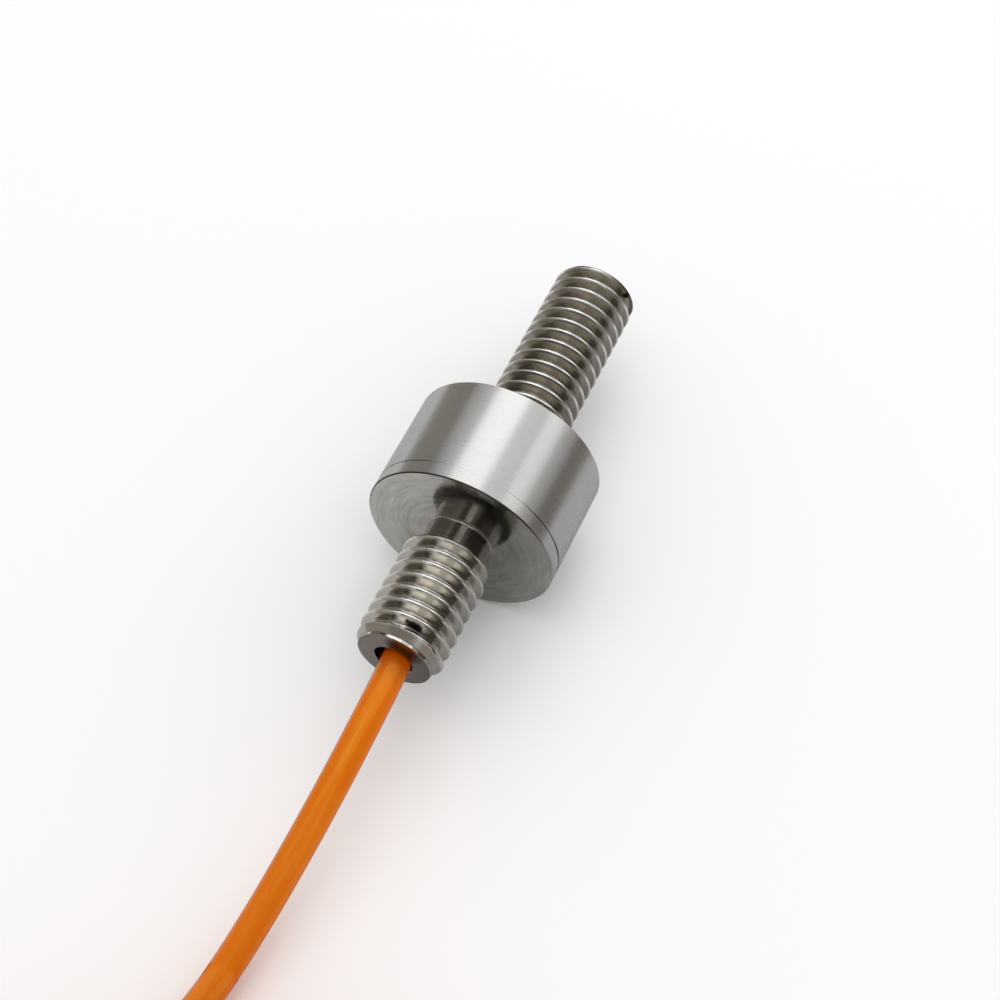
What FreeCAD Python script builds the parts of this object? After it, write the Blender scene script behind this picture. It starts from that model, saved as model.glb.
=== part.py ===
import FreeCAD, Part
import math
import os
import Sketcher
from FreeCAD import Placement, Rotation, Vector

# A miniature in-line load cell lying on its round body, with its load axis along X.
# The cable leaves through the hollow lower stud, at the -X end. Lengths are in millimetres.

SIZES = [
    # Turned body and studs
    ("body_diameter", 13.0),
    ("body_length", 7.9),
    ("stud_diameter", 6.0),
    ("lower_stud_length", 9.75),
    ("upper_stud_length", 15.2),
    ("stud_chamfer", 0.5),
    ("stud_chamfer_length", 0.7),
    ("thread_runout", 0.4),
    ("neck_diameter", 4.5),
    ("neck_length", 1.55),
    ("neck_fillet", 0.25),
    ("relief_diameter", 4.6),
    ("relief_length", 1.1),
    ("edge_break", 0.1),
    ("seam_chamfer", 0.05),
    # Diaphragm and the sealed chamber behind it
    ("plate_thickness", 1.03),
    ("membrane_outer_diameter", 10.4),
    ("membrane_inner_diameter", 5.0),
    ("membrane_recess", 0.4),
    ("chamber_diameter", 10.8),
    ("chamber_depth", 4.7),
    ("ledge_diameter", 9.6),
    ("ledge_depth", 3.25),
    # Cable, its bore and what holds it
    ("cable_diameter", 2.0),
    ("bore_diameter", 2.6),
    ("bore_chamfer", 0.15),
    ("potting_setback", 1.2),
    ("crimp_length", 0.6),
    ("crimp_wall", 0.6),
    # Bridge board and what it carries
    ("board_thickness", 0.5),
    ("board_clearance", 0.05),
    ("board_hole_diameter", 2.4),
    ("resistor_length", 1.0),
    ("resistor_width", 0.5),
    ("resistor_height", 0.35),
    ("resistor_radius", 3.6),
    # Strain gauges and their jumper wires
    ("gauge_length", 1.8),
    ("gauge_width", 1.4),
    ("gauge_thickness", 0.06),
    ("gauge_tab_inset", 0.3),
    ("jumper_diameter", 0.16),
    ("jumper_spacing", 0.8),
    ("jumper_solder_height", 0.25),
    ("jumper_solder_diameter", 0.5),
    # Cable cores inside the chamber
    ("core_diameter", 0.5),
    ("core_gap", 0.02),
    ("core_pad_radius", 2.0),
    ("core_solder_height", 0.3),
    ("core_solder_diameter", 0.9),
    # Put-away cable: hank, tie and stripped far end
    ("hank_run", 30.0),
    ("hank_fold_radius", 11.0),
    ("hank_height", 8.0),
    ("hank_squeeze", 4.0),
    ("hank_near_fold_reach", 37.6),
    ("hank_centre_y", -5.5),
    ("tail_reach", 5.0),
    ("tail_bed_width", 1.0),
    ("tie_width", 2.5),
    ("tie_thickness", 0.7),
    ("tie_slack", 0.2),
    ("tie_head_width", 3.4),
    ("tie_head_height", 2.1),
    ("lead_diameter", 0.56),
    ("lead_straight", 3.0),
    ("lead_landing", 3.0),
    ("lead_length", 38.0),
    ("tip_diameter", 0.4),
    ("tip_length", 4.0),
]

# Angles about the load axis, in degrees
GAUGE_ANGLES = [0, 90, 180, 270]
CORE_ANGLES = {"red_core": 45, "black_core": 135, "green_core": 225, "white_core": 315}
RESISTOR_ANGLES = {"zero_balance_resistor": 45, "span_resistor": 135, "temperature_resistor": 225}

# The cable's middle line after the stud's mouth, chosen by eye: the distance out from the mouth, the
# distance to the side, and the share of the drop from the load axis to the floor
CABLE_POINTS = [
    (4.0, 0.0, 0.0),
    (8.6, -0.2, 0.19),
    (13.4, 0.25, 0.47),
    (18.2, 0.85, 0.755),
    (22.8, 1.6, 0.955),
    (26.8, 2.85, 1.0),
    (29.8, 3.9, 1.0),
]

# Each stripped lead: its place in the jacket's end, and how far out it lies on the hank's far fold
LEADS = {
    "red_lead": {"across": 0.62, "up": 0.2, "fold_radius": 9.4},
    "black_lead": {"across": 0.31, "up": -0.35, "fold_radius": 8.4},
    "green_lead": {"across": 0.0, "up": 0.35, "fold_radius": 7.4},
    "white_lead": {"across": -0.31, "up": -0.35, "fold_radius": 6.4},
    "shield_lead": {"across": -0.62, "up": 0.2, "fold_radius": 5.4},
}
BARE_LEAD = "shield_lead"
FOLD_STEPS = 5

# Share of the shorter run that an arc between two runs takes up
ARC_SHARE = 0.45

# Places along the load axis, as expressions of the sizes
OVERALL = "(dims.lower_stud_length + dims.body_length + dims.upper_stud_length)"
LOWER_END = f"(-{OVERALL} / 2)"
LOWER_FACE = f"({LOWER_END} + dims.lower_stud_length)"
SEAM = f"({LOWER_FACE} + dims.plate_thickness)"
AXIS_HEIGHT = "(dims.body_diameter / 2)"
MEMBRANE = f"({SEAM} - dims.membrane_recess)"
BOARD = f"({SEAM} + dims.ledge_depth - dims.board_thickness)"
CABLE_END = f"({SEAM} + dims.crimp_length)"
GAUGE_RADIUS = "((dims.membrane_outer_diameter + dims.membrane_inner_diameter) / 4)"

doc = FreeCAD.newDocument("load_cell")
sheet = doc.addObject("Spreadsheet::Sheet", "dims")
for row, (alias, number) in enumerate(SIZES, 1):
    sheet.set(f"A{row}", alias)
    sheet.set(f"B{row}", str(number))
    sheet.setAlias(f"B{row}", alias)
doc.recompute()

sub_parts = []
along_x = Rotation(Vector(0, 1, 0), 90)


def value(expression):
    """The number that an expression of the sizes has now."""
    result = sheet.evalExpression(expression.replace("dims.", ""))
    return float(getattr(result, "Value", result))


def size(alias):
    return float(getattr(sheet, alias))


def bind(item, name, expression):
    item.setExpression(name, expression)


def place(item, x, y, z, rotation):
    """Sets an object's place from three expressions, with a fixed rotation."""
    item.Placement = Placement(Vector(value(x), value(y), value(z)), rotation)
    for axis, expression in zip("xyz", (x, y, z)):
        bind(item, f"Placement.Base.{axis}", expression)


def keep(item, label):
    """Marks an object as a sub-part with its own file."""
    item.Label = label
    sub_parts.append(item)
    return item


def hold_vertex(sketch, line, axial, radial):
    """Holds the start of a sketch line at an axial and a radial distance from the sketch's origin."""
    for kind, expression, other_axis in (("DistanceX", axial, -2), ("DistanceY", radial, -1)):
        if expression == "0":
            sketch.addConstraint(Sketcher.Constraint("PointOnObject", line, 1, other_axis))
            continue
        index = sketch.addConstraint(Sketcher.Constraint(kind, -1, 1, line, 1, value(expression)))
        name = f"{kind}_{line}"
        sketch.renameConstraint(index, name)
        bind(sketch, f"Constraints.{name}", expression)


def turned(label, start, outline):
    """A body turned about the load axis: outline is its half section, as axial and radial expressions."""
    body = doc.addObject("PartDesign::Body", label)
    sketch = body.newObject("Sketcher::SketchObject", f"{label}_section")
    plane = next(f for f in body.Origin.OriginFeatures if f.Role == "XY_Plane")
    sketch.AttachmentSupport = [(plane, "")]
    sketch.MapMode = "FlatFace"
    corners = [Vector(value(axial), value(radial), 0) for axial, radial in outline]
    count = len(corners)
    for i in range(count):
        sketch.addGeometry(Part.LineSegment(corners[i], corners[(i + 1) % count]))
    for i in range(count):
        sketch.addConstraint(Sketcher.Constraint("Coincident", i, 2, (i + 1) % count, 1))
    for i, (axial, radial) in enumerate(outline):
        hold_vertex(sketch, i, axial, radial)
    revolution = body.newObject("PartDesign::Revolution", f"{label}_turned")
    revolution.Profile = sketch
    revolution.ReferenceAxis = (sketch, ["H_Axis"])
    revolution.Angle = 360
    place(body, start, "0", AXIS_HEIGHT, Rotation())
    doc.recompute()
    return keep(body, label)


def ring_edge(shape, x, radius):
    """The name of the circular edge at a place along a body's own axis."""
    for number, edge in enumerate(shape.Edges, 1):
        circle = edge.Curve
        if not isinstance(circle, Part.Circle):
            continue
        if abs(circle.Center.x - x) < 1e-6 and abs(circle.Radius - radius) < 1e-6:
            return f"Edge{number}"
    raise ValueError(f"no edge of radius {radius} at {x}")


def upper_housing():
    """The cup that closes the chamber, turned in one piece with the solid upper stud."""
    cup = "(dims.body_length - dims.plate_thickness)"
    tip = f"({cup} + dims.upper_stud_length)"
    outer = "dims.body_diameter / 2"
    stud = "dims.stud_diameter / 2"
    relief = "dims.relief_diameter / 2"
    chamber = "dims.chamber_diameter / 2"
    ledge = "dims.ledge_diameter / 2"
    return turned("upper_housing", SEAM, [
        ("0", chamber),
        ("0", f"{outer} - dims.seam_chamfer"),
        ("dims.seam_chamfer", outer),
        (f"{cup} - dims.edge_break", outer),
        (cup, f"{outer} - dims.edge_break"),
        (cup, relief),
        (f"{cup} + dims.relief_length", relief),
        (f"{cup} + dims.relief_length + dims.thread_runout", stud),
        (f"{tip} - dims.stud_chamfer_length", stud),
        (tip, f"{stud} - dims.stud_chamfer"),
        (tip, "0"),
        ("dims.chamber_depth", "0"),
        ("dims.chamber_depth", ledge),
        ("dims.ledge_depth", ledge),
        ("dims.ledge_depth", chamber),
    ])


def sensing_element():
    """The diaphragm, turned in one piece with the neck and the hollow lower stud."""
    face = "dims.lower_stud_length"
    inside = f"({face} + dims.plate_thickness)"
    membrane = f"({inside} - dims.membrane_recess)"
    outer = "dims.body_diameter / 2"
    stud = "dims.stud_diameter / 2"
    neck = "dims.neck_diameter / 2"
    bore = "dims.bore_diameter / 2"
    membrane_outer = "dims.membrane_outer_diameter / 2"
    membrane_inner = "dims.membrane_inner_diameter / 2"
    body = turned("sensing_element", LOWER_END, [
        ("0", f"{bore} + dims.bore_chamfer"),
        ("0", f"{stud} - dims.stud_chamfer"),
        ("dims.stud_chamfer_length", stud),
        (f"{face} - dims.neck_length - dims.thread_runout", stud),
        (f"{face} - dims.neck_length", neck),
        (face, neck),
        (face, f"{outer} - dims.edge_break"),
        (f"{face} + dims.edge_break", outer),
        (f"{inside} - dims.seam_chamfer", outer),
        (inside, f"{outer} - dims.seam_chamfer"),
        (inside, membrane_outer),
        (membrane, membrane_outer),
        (membrane, membrane_inner),
        (inside, membrane_inner),
        (inside, bore),
        ("dims.bore_chamfer", bore),
    ])
    turned_feature = body.Tip
    edge = ring_edge(turned_feature.Shape, size("lower_stud_length"), size("neck_diameter") / 2)
    fillet = body.newObject("PartDesign::Fillet", "neck_root_fillet")
    fillet.Base = (turned_feature, [edge])
    bind(fillet, "Radius", "dims.neck_fillet")
    body.Tip = fillet
    doc.recompute()
    return body


def sleeve(label, start, length, inner, outer):
    """A plain turned ring."""
    return turned(label, start, [("0", inner), ("0", outer), (length, outer), (length, inner)])


def held_cable():
    """The cable through the hollow stud, with its resin, its crimp ring and the board above it."""
    cable = "dims.cable_diameter / 2"
    bore = "dims.bore_diameter / 2"
    chamber = "dims.chamber_diameter / 2"
    in_metal = "dims.lower_stud_length + dims.plate_thickness"
    sleeve("cable_in_stud", LOWER_END, f"{in_metal} + dims.crimp_length", "0", cable)
    sleeve("bore_potting", f"({LOWER_END} + dims.potting_setback)", f"{in_metal} - dims.potting_setback",
           cable, bore)
    sleeve("cable_crimp_ring", SEAM, "dims.crimp_length", cable, f"{cable} + dims.crimp_wall")
    sleeve("bridge_board", BOARD, "dims.board_thickness", "dims.board_hole_diameter / 2",
           f"{chamber} - dims.board_clearance")


def polar(radius, angle, across="0"):
    """Y and Z expressions of a point at a radius and an angle about the load axis, shifted across."""
    y = f"({radius}) * cos({angle} deg) - ({across}) * sin({angle} deg)"
    z = f"{AXIS_HEIGHT} + ({radius}) * sin({angle} deg) + ({across}) * cos({angle} deg)"
    return y, z


def chip(label, x, radius, angle, thickness, length, width):
    """A flat block square to the load axis: its length is radial and its width lies across."""
    box = doc.addObject("Part::Box", label)
    bind(box, "Length", thickness)
    bind(box, "Width", length)
    bind(box, "Height", width)
    y, z = polar(f"{radius} - {length} / 2", angle, f"-{width} / 2")
    place(box, x, y, z, Rotation(Vector(1, 0, 0), angle))
    return keep(box, label)


def rod(name, x, length, diameter, y, z):
    """A round wire along the load axis."""
    wire = doc.addObject("Part::Cylinder", name)
    bind(wire, "Radius", f"{diameter} / 2")
    bind(wire, "Height", length)
    place(wire, x, y, z, along_x)
    return wire


def solder(name, height, tip_diameter, diameter, y, z):
    """A cone of solder on the board's lower face, with the wire's diameter at its tip."""
    cone = doc.addObject("Part::Cone", name)
    bind(cone, "Radius1", f"{tip_diameter} / 2")
    bind(cone, "Radius2", f"{diameter} / 2")
    bind(cone, "Height", height)
    place(cone, f"{BOARD} - {height}", y, z, along_x)
    return cone


def group(label, members):
    """Separate solids of one kind that share a node."""
    compound = doc.addObject("Part::Compound", label)
    compound.Links = members
    return keep(compound, label)


def gauges():
    """Four gauges on the membrane, each with two jumper wires up to solder on the board."""
    jumper_radius = f"({GAUGE_RADIUS} + dims.gauge_length / 2 - dims.gauge_tab_inset)"
    gauge_top = f"({MEMBRANE} + dims.gauge_thickness)"
    jumper_length = f"({BOARD} - dims.jumper_solder_height - {gauge_top})"
    joints = []
    for number, angle in enumerate(GAUGE_ANGLES, 1):
        chip(f"strain_gauge_{number}", MEMBRANE, GAUGE_RADIUS, angle, "dims.gauge_thickness",
             "dims.gauge_length", "dims.gauge_width")
        wires = []
        for side in ("-", "+"):
            y, z = polar(jumper_radius, angle, f"{side}dims.jumper_spacing / 2")
            suffix = f"{number}_{len(wires) + 1}"
            wires.append(rod(f"jumper_{suffix}", gauge_top, jumper_length, "dims.jumper_diameter", y, z))
            joints.append(solder(f"jumper_solder_{suffix}", "dims.jumper_solder_height",
                                 "dims.jumper_diameter", "dims.jumper_solder_diameter", y, z))
        group(f"gauge_wires_{number}", wires)
    group("gauge_solder_joints", joints)


def resistors():
    """The bridge's trimming parts on the board's lower face."""
    for label, angle in RESISTOR_ANGLES.items():
        chip(label, f"{BOARD} - dims.resistor_height", "dims.resistor_radius", angle,
             "dims.resistor_height", "dims.resistor_width", "dims.resistor_length")


def swept(path, diameter):
    """A round solid of one diameter along a path, checked against its section times its length."""
    start = path.Edges[0].valueAt(path.Edges[0].FirstParameter)
    heading = path.Edges[0].tangentAt(path.Edges[0].FirstParameter)
    section = Part.Wire(Part.makeCircle(diameter / 2, start, heading))
    solid = path.makePipeShell([section], True, False)
    expected = math.pi * diameter**2 / 4 * path.Length
    if not solid.isValid() or abs(solid.Volume - expected) > 0.01 * expected:
        raise ValueError(f"swept solid: volume {solid.Volume}, expected {expected}")
    return solid


def feature(label, shape):
    """A sub-part whose shape is worked out in code."""
    item = doc.addObject("Part::Feature", label)
    item.Shape = shape
    item.Placement = Placement()
    return keep(item, label)


def cores():
    """The cable's four cores, each in two equal arcs from the jacket's end out to its solder."""
    start_x = value(CABLE_END)
    end_x = value(f"{BOARD} - dims.core_solder_height")
    start_radius = (size("core_diameter") + size("core_gap")) / math.sqrt(2)
    pad_radius = size("core_pad_radius")
    rise = end_x - start_x
    spread = pad_radius - start_radius
    turn = 2 * math.atan2(spread, rise)
    bend = rise / (2 * math.sin(turn))
    half_along = bend * math.sin(turn / 2)
    half_out = bend * (1 - math.cos(turn / 2))
    axis_z = value(AXIS_HEIGHT)
    joints = []
    for label, angle in CORE_ANGLES.items():
        outward = Vector(0, math.cos(math.radians(angle)), math.sin(math.radians(angle)))

        def point(x, radius):
            return Vector(x, 0, axis_z) + outward * radius

        middle = point(start_x + rise / 2, start_radius + spread / 2)
        first = Part.Arc(
            point(start_x, start_radius),
            point(start_x + half_along, start_radius + half_out),
            middle,
        )
        second = Part.Arc(
            middle,
            point(end_x - half_along, pad_radius - half_out),
            point(end_x, pad_radius),
        )
        feature(label, swept(Part.Wire([first.toShape(), second.toShape()]), size("core_diameter")))
        y, z = polar("dims.core_pad_radius", angle)
        joints.append(solder(f"{label}_solder", "dims.core_solder_height", "dims.core_diameter",
                             "dims.core_solder_diameter", y, z))
    group("core_solder_joints", joints)


def rounded(points):
    """A path of straight runs joined by tangent arcs, and the arcs' radii."""
    edges = []
    radii = []
    last = points[0]
    for before, corner, after in zip(points, points[1:], points[2:]):
        back = before - corner
        ahead = after - corner
        turn = math.pi - back.getAngle(ahead)
        reach = ARC_SHARE * min(back.Length, ahead.Length)
        radius = reach / math.tan(turn / 2)
        arc_start = corner + back.normalize() * reach
        arc_end = corner + ahead.normalize() * reach
        inward = (back + ahead).normalize()
        arc_middle = corner + inward * (radius / math.cos(turn / 2) - radius)
        edges.append(Part.LineSegment(last, arc_start).toShape())
        edges.append(Part.Arc(arc_start, arc_middle, arc_end).toShape())
        radii.append(radius)
        last = arc_end
    edges.append(Part.LineSegment(last, points[-1]).toShape())
    return Part.Wire(edges), radii


def cord(label, points, diameter):
    """A cord's tube along its route."""
    path, radii = rounded(points)
    print(f"{label}: {path.Length:.1f} mm, radii " + " ".join(f"{r:.1f}" for r in radii))
    return feature(label, swept(path, diameter))


def cable_line():
    """The free cable's middle line, from the stud's mouth to the hank."""
    mouth = Vector(value(LOWER_END), 0, value(AXIS_HEIGHT))
    drop = mouth.z - size("cable_diameter") / 2
    return [mouth] + [mouth + Vector(-out, side, -drop * share) for out, side, share in CABLE_POINTS]


def cable_free():
    """The cable from the stud's mouth to the hank."""
    return cord("cable_free", cable_line(), size("cable_diameter"))


def hank_places():
    """The hank's two fold centres and its waist, seen from above."""
    near = Vector(value(f"{LOWER_END} - dims.hank_near_fold_reach"), size("hank_centre_y"), 0)
    far = near - Vector(size("hank_run"), 0, 0)
    return near, far, (near + far) / 2


def squeeze_bend():
    """The radius of the equal arcs that lead a side of the hank in to its waist."""
    half_run = size("hank_run") / 2
    return (half_run**2 + size("hank_squeeze") ** 2) / (4 * size("hank_squeeze"))


def hank_outline():
    """The hank seen from above: two round folds with sides squeezed in towards the tie."""
    near, far = hank_places()[:2]
    radius = size("hank_fold_radius")
    squeeze = size("hank_squeeze")
    quarter = size("hank_run") / 4
    bend = squeeze_bend()
    half_turn = math.asin(quarter / bend) / 2
    along = bend * math.sin(half_turn)
    inward = bend * (1 - math.cos(half_turn))

    def side_arcs(side):
        def at(x, y):
            return near + Vector(-x, side * (radius - y), 0)

        corners = [at(0, 0), at(quarter, squeeze / 2), at(3 * quarter, squeeze / 2), at(4 * quarter, 0)]
        middles = [at(along, inward), at(2 * quarter, squeeze), at(4 * quarter - along, inward)]
        return list(zip(corners, middles, corners[1:]))

    across = Vector(0, radius, 0)
    forward = Vector(radius, 0, 0)
    arcs = side_arcs(1) + [(far + across, far - forward, far - across)]
    arcs += [(c, b, a) for a, b, c in reversed(side_arcs(-1))]
    arcs += [(near - across, near + forward, near + across)]
    return Part.Face(Part.Wire([Part.Arc(*arc).toShape() for arc in arcs]))


def tail_line():
    """The cable's last run on top of the hank, from the tie's near side to the jacket's end."""
    waist = hank_places()[2]
    y = waist.y + size("hank_fold_radius") - size("cable_diameter") / 2 - size("hank_squeeze")
    z = size("hank_height") + size("cable_diameter") / 2
    reach = Vector(size("tail_reach"), 0, 0)
    return Vector(waist.x, y, z) + reach, Vector(waist.x, y, z) - reach


def hank_entry():
    """The stretch that carries the free cable's end round into the hank's outer turn."""
    near = hank_places()[0]
    before, end = cable_line()[-2:]
    heading = (end - before).normalize()
    side = near.y + size("hank_fold_radius") - size("cable_diameter") / 2
    corner = end + heading * ((side - end.y) / heading.y)
    path = rounded([end, corner, Vector(near.x, side, end.z)])[0]
    return swept(path, size("cable_diameter"))


def cable_hank():
    """The folded length as one solid, with the end that the free cable meets and the tail on top."""
    height = size("hank_height")
    cable = size("cable_diameter")
    waist = hank_places()[2]
    solid = hank_outline().extrude(Vector(0, 0, height))
    start, stop = tail_line()
    run = (start - stop).Length
    tail = Part.makeCylinder(cable / 2, run, start, Vector(-1, 0, 0))
    bed_width = size("tail_bed_width")
    bed = Part.makeBox(run, bed_width, cable / 2, Vector(stop.x, start.y - bed_width / 2, height))
    fold = size("hank_fold_radius")
    strap = size("tie_width")
    groove_corner = Vector(waist.x - strap / 2, waist.y - fold, 0)
    groove = Part.makeBox(strap, 2 * fold, size("tie_thickness"), groove_corner)
    return feature("cable_hank", solid.fuse([hank_entry(), tail, bed]).cut(groove).removeSplitter())


def hank_tie():
    """The strap round the hank's waist and over the tail, with its head on top."""
    waist = hank_places()[2]
    thick = size("tie_thickness")
    strap = size("tie_width")
    bend = squeeze_bend()
    bulge = bend - math.sqrt(bend**2 - (strap / 2) ** 2)
    half = size("hank_fold_radius") - size("hank_squeeze") + bulge
    low = size("hank_height")
    high = low + size("cable_diameter") + size("tie_slack")
    x = waist.x - strap / 2
    corners = [
        Vector(x, waist.y - half, thick),
        Vector(x, waist.y + half, thick),
        Vector(x, waist.y + half, high),
        Vector(x, waist.y - half, low),
    ]
    inner = Part.makePolygon(corners + corners[:1])
    outer = inner.makeOffset2D(thick, 2)
    band = Part.Face(outer).cut(Part.Face(inner)).extrude(Vector(strap, 0, 0))
    head = size("tie_head_width")
    block = Part.makeBox(head, head, size("tie_head_height"))
    slope = math.degrees(math.atan2(high - low, 2 * half))
    block_corner = corners[3] + Vector((strap - head) / 2, 0, 0)
    block.Placement = Placement(block_corner, Rotation(Vector(1, 0, 0), slope))
    return feature("hank_tie", band.fuse(block).removeSplitter())


def lead_points(start, fold_radius):
    """A stripped lead's route: out of the jacket, down onto the hank and round its far fold."""
    far = hank_places()[1]
    z = size("hank_height") + size("lead_diameter") / 2
    landing = Vector(far.x + size("lead_landing"), far.y + fold_radius, z)
    straight_end = start - Vector(size("lead_straight"), 0, 0)
    points = [start, straight_end, landing]
    before_fold = size("lead_straight") + (landing - straight_end).Length + size("lead_landing")
    left_over = size("lead_length") - before_fold
    sweep = min(math.pi, left_over / fold_radius)
    step = sweep / FOLD_STEPS
    outside = fold_radius / math.cos(step / 2)

    def round_fold(radius, turn):
        return Vector(far.x - radius * math.sin(turn), far.y + radius * math.cos(turn), z)

    points += [round_fold(outside, step * (i + 0.5)) for i in range(FOLD_STEPS)]
    heading = Vector(-math.cos(sweep), -math.sin(sweep), 0)
    points.append(round_fold(fold_radius, sweep) + heading * (left_over - sweep * fold_radius))
    return points


def leads():
    """The stripped leads, and the tinned tips of those that are insulated."""
    stop = tail_line()[1]
    tips = []
    for label, lead in LEADS.items():
        points = lead_points(stop + Vector(0, lead["across"], lead["up"]), lead["fold_radius"])
        cord(label, points, size("lead_diameter"))
        if label != BARE_LEAD:
            heading = (points[-1] - points[-2]).normalize()
            tips.append(Part.makeCylinder(size("tip_diameter") / 2, size("tip_length"), points[-1], heading))
    feature("tinned_tips", Part.makeCompound(tips))


def write_parts():
    """Checks every object, then writes one file for each sub-part."""
    doc.recompute()
    for item in doc.Objects:
        if "Invalid" in item.State or "Error" in item.State:
            raise ValueError(f"{item.Label}: {item.State}")
    for item in sub_parts:
        if item.Shape.isNull() or not item.Shape.isValid():
            raise ValueError(f"{item.Label} has no valid shape")
    os.makedirs("parts", exist_ok=True)
    for item in sub_parts:
        item.Shape.exportStep(f"parts/{item.Label}.step")
        print(f"{item.Label}: {len(item.Shape.Solids)} solid(s), {item.Shape.Volume:.3f} mm3")


upper_housing()
sensing_element()
held_cable()
gauges()
resistors()
cores()
cable_free()
cable_hank()
hank_tie()
leads()
write_parts()
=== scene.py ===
import math

import bmesh
import bpy
from mathutils import Matrix, Vector


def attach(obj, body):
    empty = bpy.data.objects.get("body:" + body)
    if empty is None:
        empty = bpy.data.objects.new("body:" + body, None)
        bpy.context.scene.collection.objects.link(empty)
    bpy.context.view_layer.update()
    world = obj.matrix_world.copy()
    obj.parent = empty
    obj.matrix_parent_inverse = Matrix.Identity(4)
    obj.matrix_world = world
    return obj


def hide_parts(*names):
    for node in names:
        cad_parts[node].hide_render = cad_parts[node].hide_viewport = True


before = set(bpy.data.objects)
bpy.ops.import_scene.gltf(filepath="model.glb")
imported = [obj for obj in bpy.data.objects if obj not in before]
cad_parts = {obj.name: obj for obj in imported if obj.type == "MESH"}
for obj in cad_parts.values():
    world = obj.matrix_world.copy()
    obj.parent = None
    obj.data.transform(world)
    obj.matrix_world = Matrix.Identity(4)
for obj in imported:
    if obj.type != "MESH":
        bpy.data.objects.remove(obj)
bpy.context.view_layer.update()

# Lengths are in millimetres, in the frame of the solids, and are scaled to metres on the way out.
MM = 0.001
FULL_TURN = 2 * math.pi

# Places along the load axis
LOWER_END = -16.425
LOWER_FACE = -6.675
SEAM = -5.645
UPPER_FACE = 1.225
UPPER_END = 16.425
AXIS_HEIGHT = 6.5

# Turned meshes
COLUMNS = 192
SAME_PLACE = 1e-8
MERGE_DISTANCE = 2e-8
TURNED_SHARP_ANGLE = math.radians(32)

# Body, its seam and the chamber inside
BODY_RADIUS = 6.5
RIM_BREAK = 0.08
SEAM_DEPTH = 0.12
SEAM_HALF_GAP = 0.03
# Degrees about the load axis from +Y: the middle of the stretch where the seam is closed, how far that
# reaches to each side, and how far beyond the middle the seam opens further
SEAM_CLOSED_MIDDLE = 97
SEAM_CLOSED_SPAN = 34
SEAM_OPENS_AFTER = 52
SEAM_OPENS_OVER = 25
# The dark line of painted shade on the diaphragm's rim break, in the same degrees
DARK_RIM_MIDDLE = 60.0
DARK_RIM_HALF_SPAN = 90.0
DARK_RIM_TAPER = 16.0
CHAMBER_DEPTH = 4.7
CHAMBER_TOP_RADIUS = 4.8
CHAMBER_RADIUS = 5.4
LEDGE_DEPTH = 3.25
RECESS_RADIUS = 5.2
RECESS_DEPTH = 0.4
HUB_RADIUS = 2.5

# Studs, neck and diaphragm
STUD_RADIUS = 3.0
RUNOUT = 0.4
BORE_RADIUS = 1.3
BORE_BREAK_LENGTH = 0.03
BORE_BREAK_WIDTH = 0.02
LAND_RADIUS = 2.5
LAND_BREAK = 0.1
LAND_LENGTH = 0.29
LAND_STEP = 0.04
# The lower stud's end between its bore and its land, as (fall back from the end, radius)
END_ROWS = [(0.05, 2.0), (0.08, LAND_RADIUS - 0.02)]
CHAMFER_LENGTH = 0.85
NECK_RADIUS = 2.25
NECK_LENGTH = 1.55
NECK_START = LOWER_FACE - NECK_LENGTH
NECK_FILLET = 0.12
NECK_FILLET_STEPS = 6
NECK_LINES = 10
NECK_LINE_STEPS = 5
NECK_LINE_CURVE = 0.022
INNER_FACE_START = 2.9
INNER_FACE_RADIUS = 4.3
RELIEF_RADIUS = 2.3
RELIEF_END = UPPER_FACE + 1.1
TIP_BREAK = 0.4
TIP_LENGTH = 0.56
TIP_RING_RADIUS = 1.2

# Thread: distance from the crest's middle as a share of the pitch, and depth below the crest
PITCH = 1.0
CREST_RADIUS = 2.95
HALF_THREAD = [
    (0.0, 0.0),
    (0.032, 0.0),
    (0.052, 0.009),
    (0.068, 0.028),
    (0.159, 0.186),
    (0.25, 0.344),
    (0.342, 0.503),
    (0.382, 0.562),
    (0.437, 0.6),
    (0.5, 0.613),
]
THREAD_FORM = HALF_THREAD + [(1 - t, d) for t, d in HALF_THREAD[-2:0:-1]]
FORM_LENGTH = 1.4
# Where a crest crosses the line of the body that faces the camera, and that line's angle from +Y about +X
FRONT_ANGLE = math.radians(105.9)
LOWER_CREST = -8.655
UPPER_CREST = 4.885
# Turn at which each groove begins, counted from that line: the upper one has run in before its stud begins
LOWER_THREAD_START = -7.8
UPPER_THREAD_START = -100
# The part of a turn in which a groove deepens
GROOVE_START = 0.03
# The painted shade on the lower thread's last flank reaches over its crest: where that starts in radians
# from that line, how long it takes to come about, and how far it reaches
RUNOUT_SHADE_START = 0.2
RUNOUT_SHADE_SPAN = 0.3
RUNOUT_SHADE_REACH = 0.08

# Cable and hank
CABLE_DIAMETER = 2.0
CABLE_START = -5.045
HANK_NEAR_X = LOWER_END - 37.6
HANK_RUN = 30.0
HANK_FAR_X = HANK_NEAR_X - HANK_RUN
HANK_Y = -5.5
HANK_SQUEEZE = 4.0
HANK_LAYERS = 4
HANK_HEIGHT = HANK_LAYERS * CABLE_DIAMETER
OUTER_TURN = 10.0
TURN_RADII = [OUTER_TURN, OUTER_TURN - CABLE_DIAMETER, OUTER_TURN - 2 * CABLE_DIAMETER]
CLIMB_BULGE = 1.3
FOLD_STEPS = 6
# A control point moves this much further than the line does
WAIST_PULL = 1 / 0.75
WAIST_X = (HANK_NEAR_X + HANK_FAR_X) / 2
TAIL_Y = 0.5
TAIL_Z = 9.0
TAIL_REACH = 5.0

# Stripped leads
LEAD_DIAMETER = 0.56
LEAD_LENGTH = 38.0
LEAD_STRAIGHT = 3.0
LEAD_LANDING = 3.0
LEAD_FOLD_STEPS = 5

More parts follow.
